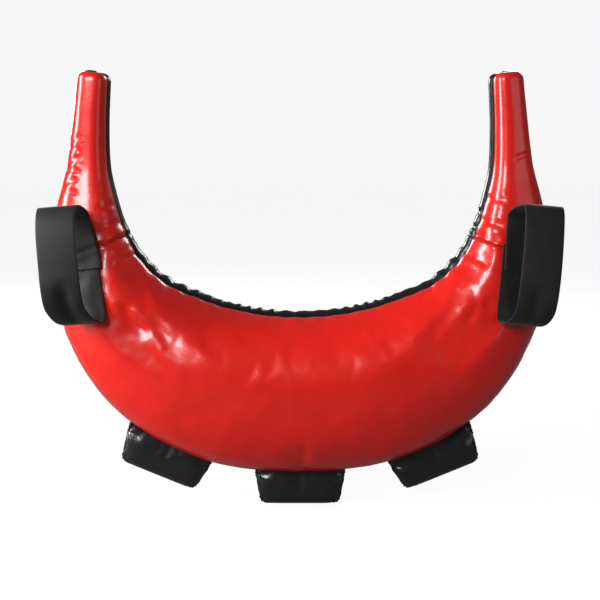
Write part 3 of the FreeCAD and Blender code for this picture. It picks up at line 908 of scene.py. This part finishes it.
clouds = pattern(grain, "ShaderNodeTexNoise", 9, "Fac", Detail=3)
rub = pattern(grain, "ShaderNodeTexNoise", 38, "Fac", Detail=5, Roughness=0.6)
pebbles = pattern(grain, "ShaderNodeTexVoronoi", 780, "Distance")
veins = pattern(grain, "ShaderNodeTexNoise", 420, "Fac", Detail=4)
shade = math_node(grain, "MULTIPLY", spread(grain, clouds, 0.82, 1.12), spread(grain, rub, 0.93, 1.06))
# Painted shade: the colour is darkened to less than half in the seam folds.
shade = math_node(grain, "MULTIPLY", shade, spread(grain, fold_shade_in, 1.0, 0.45))
roughness = math_node(grain, "ADD", spread(grain, rub, 0.20, 0.33), spread(grain, fold_shade_in, 0.0, 0.2))
height = math_node(grain, "ADD", spread(grain, pebbles, 0.0, 0.6), spread(grain, veins, 0.0, 0.7))
grain.links.new(shade, outside.inputs["Shade"])
grain.links.new(roughness, outside.inputs["Roughness"])
grain.links.new(bump_from(grain, height, 0.22, 0.0005), outside.inputs["Normal"])
print("grain group has", len(grain.nodes), "nodes")

# %% Two leathers from one grain
# The deep colours are reached where the shade runs low: a little through the random tone, mostly
# through the painted shade in the seam folds.
RED, DEEP_RED = (0.80, 0.012, 0.006), (0.26, 0.0015, 0.001)
BLACK, DEEP_BLACK = (0.0085, 0.0085, 0.009), (0.002, 0.002, 0.002)

def coated_leather(name, colour, deep):
    material, tree, shader = new_material(name)
    group = add_node(tree, "ShaderNodeGroup", node_tree=grain)
    fold_shade = add_node(tree, "ShaderNodeAttribute", attribute_name="fold_shade").outputs["Fac"]
    tint = tint_between(tree, group.outputs["Shade"], deep, colour, 0.35, 1.0)
    for value, socket in ((tint, "Base Color"), (group.outputs["Roughness"], "Roughness"),
                          (group.outputs["Normal"], "Normal"),
                          (spread(tree, fold_shade, 0.45, 0.0), "Coat Weight"),
                          (spread(tree, fold_shade, 0.5, 0.1), "Specular IOR Level")):
        tree.links.new(value, shader.inputs[socket])
    tree.links.new(fold_shade, group.inputs["Fold Shade"])
    shader.inputs["Coat Roughness"].default_value = 0.13
    return material

red_leather = coated_leather("red coated leather", RED, DEEP_RED)
black_leather = coated_leather("black coated leather", BLACK, DEEP_BLACK)
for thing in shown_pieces():
    if thing.name.startswith(("red_cover", "black_cover")) or "_tab_" in thing.name:
        is_red = thing.name.startswith("red") or thing.name.endswith("back_leather")
        dress(thing, red_leather if is_red else black_leather)
print("leather is on", sum(m.users for m in (red_leather, black_leather)), "pieces")

# %% [markdown]
# ## Webbing, thread and wadding
# The webbing is a dense polyester weave with a satin face: fine ribs across it, finer lines along
# it, and a sheen. The weave follows the strap, so it reads the numbers kept on the strap's
# points, how far along and how far across each one is, instead of object coordinates. Thread is
# the same black, twisted. The wadding is hidden inside, and is a plain off-white felt.

# %% Webbing
RIB_ACROSS, RIB_ALONG = 0.0013, 0.0010
WEBBING_DARK, WEBBING_LIGHT = (0.0035, 0.0035, 0.0032), (0.020, 0.020, 0.018)

def ribs(tree, name, pitch):
    """A wave of this pitch along a number that is kept on the points."""
    value = add_node(tree, "ShaderNodeAttribute", attribute_name=name).outputs["Fac"]
    turned = math_node(tree, "MULTIPLY", value, 2 * math.pi / pitch)
    return spread(tree, math_node(tree, "SINE", turned, 0.0), 0.25, 0.75)

webbing, tree, shader = new_material("black webbing")
weave = math_node(tree, "MULTIPLY", ribs(tree, "lengthwise", RIB_ACROSS),
                  ribs(tree, "crosswise", RIB_ALONG))
fuzz = pattern(tree, "ShaderNodeTexNoise", 55, "Fac", Detail=6)
mixed = math_node(tree, "ADD", math_node(tree, "MULTIPLY", weave, 0.7),
                  math_node(tree, "MULTIPLY", fuzz, 0.4))
tint = tint_between(tree, mixed, WEBBING_DARK, WEBBING_LIGHT, 0.1, 0.75)
tree.links.new(tint, shader.inputs["Base Color"])
tree.links.new(spread(tree, fuzz, 0.52, 0.70), shader.inputs["Roughness"])
tree.links.new(bump_from(tree, weave, 0.5, 0.0003), shader.inputs["Normal"])
shader.inputs["Specular IOR Level"].default_value = 0.35
shader.inputs["Sheen Weight"].default_value = 0.15
shader.inputs["Sheen Roughness"].default_value = 0.4
for strap in loops.values():
    dress(strap, webbing)
print("webbing is on", webbing.users, "straps")

# %% Thread and wadding
def plain_fibre(name, light, dark, scale, rough):
    material, tree, shader = new_material(name)
    fibres = pattern(tree, "ShaderNodeTexNoise", scale, "Fac", Detail=5)
    tree.links.new(tint_between(tree, fibres, dark, light, 0.0, 1.0), shader.inputs["Base Color"])
    tree.links.new(bump_from(tree, fibres, 0.4, 0.0004), shader.inputs["Normal"])
    shader.inputs["Roughness"].default_value = rough
    return material

black_thread = plain_fibre("black thread", (0.022, 0.021, 0.020), (0.006, 0.006, 0.006), 1500, 0.5)
felt = plain_fibre("needled wadding", (0.74, 0.73, 0.69), (0.55, 0.54, 0.50), 180, 0.95)
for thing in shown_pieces():
    if thing.name.endswith("_thread"):
        dress(thing, black_thread)
dress(stuffing, felt)
print("materials:", sorted(m.name for m in bpy.data.materials if m.users))

# %% [markdown]
# ## Floor and light
# The bag stands over a plain pale floor. A tall, narrow, soft light low on the left puts long
# bright streaks on the leather and lights the left edge of each horn. A smaller one high in front
# gives the shine on the belly, and a weak one on the right keeps the shaded side readable. Two
# more behind draw thin rims round the horns and light the black face. The floor and the
# surroundings look nearly white to the camera but light the bag only weakly, so the black leather
# stays black. A Light Path node tells the camera's rays from the others.

# %% Floor
FLOOR_GLOW, FLOOR_SEEN = 0.04, 0.90

deselect_all()
bpy.ops.mesh.primitive_plane_add(size=24, location=(0, 0, -0.0005))
floor = bpy.context.object
floor.name = floor.data.name = "floor"
bpy.ops.object.transform_apply(location=True)
pale, tree, shader = new_material("pale floor")
shader.inputs["Base Color"].default_value = (0.14, 0.14, 0.14, 1)
shader.inputs["Roughness"].default_value = 0.9
shader.inputs["Specular IOR Level"].default_value = 0.1
shader.inputs["Emission Color"].default_value = (1, 1, 1, 1)
to_camera = add_node(tree, "ShaderNodeLightPath").outputs["Is Camera Ray"]
tree.links.new(spread(tree, to_camera, FLOOR_GLOW, FLOOR_SEEN), shader.inputs["Emission Strength"])
floor.data.materials.append(pale)
print("floor at", round(floor.data.vertices[0].co.z * 1000, 1), "mm")

# %% Lights
LIGHTS = (      # name, place, what it points at, width, height, watts
    ("key", (-1.40, -0.46, 0.72), (-0.10, 0, 0.30), 0.42, 1.1, 30),
    ("front", (-0.85, -1.70, 1.10), (-0.05, 0, 0.20), 0.5, 0.5, 17),
    ("fill", (1.5, -1.4, 0.7), (0, 0, 0.25), 0.9, 0.9, 2.5),
    ("rim", (0.9, 1.5, 1.2), (0, 0, 0.3), 0.9, 0.6, 12),
    ("back", (-1.0, 1.7, 0.9), (0, 0, 0.25), 0.5, 0.7, 14),
)
for name, place, target, wide, high, power in LIGHTS:
    light = bpy.data.lights.new(name, "AREA")
    light.shape, light.size, light.size_y, light.energy = "RECTANGLE", wide, high, power
    lamp = bpy.data.objects.new(name, light)
    bpy.context.scene.collection.objects.link(lamp)
    look_from(lamp, place, target)

# %% Surroundings
world = bpy.data.worlds.new("surroundings")
bpy.context.scene.world = world
world.use_nodes = True
tree = world.node_tree
seen, lit = tree.nodes["Background"], add_node(tree, "ShaderNodeBackground")
for node, colour, strength in ((seen, (0.93, 0.93, 0.93, 1), 1.0), (lit, (0.95, 0.97, 1.0, 1), 0.12)):
    node.inputs["Color"].default_value, node.inputs["Strength"].default_value = colour, strength
choose, path = add_node(tree, "ShaderNodeMixShader"), add_node(tree, "ShaderNodeLightPath")
tree.links.new(path.outputs["Is Camera Ray"], choose.inputs["Fac"])
tree.links.new(lit.outputs["Background"], choose.inputs[1])
tree.links.new(seen.outputs["Background"], choose.inputs[2])
tree.links.new(choose.outputs["Shader"], tree.nodes["World Output"].inputs["Surface"])
bpy.context.scene.view_settings.view_transform = "Standard"
print("surroundings light at", lit.inputs["Strength"].default_value)
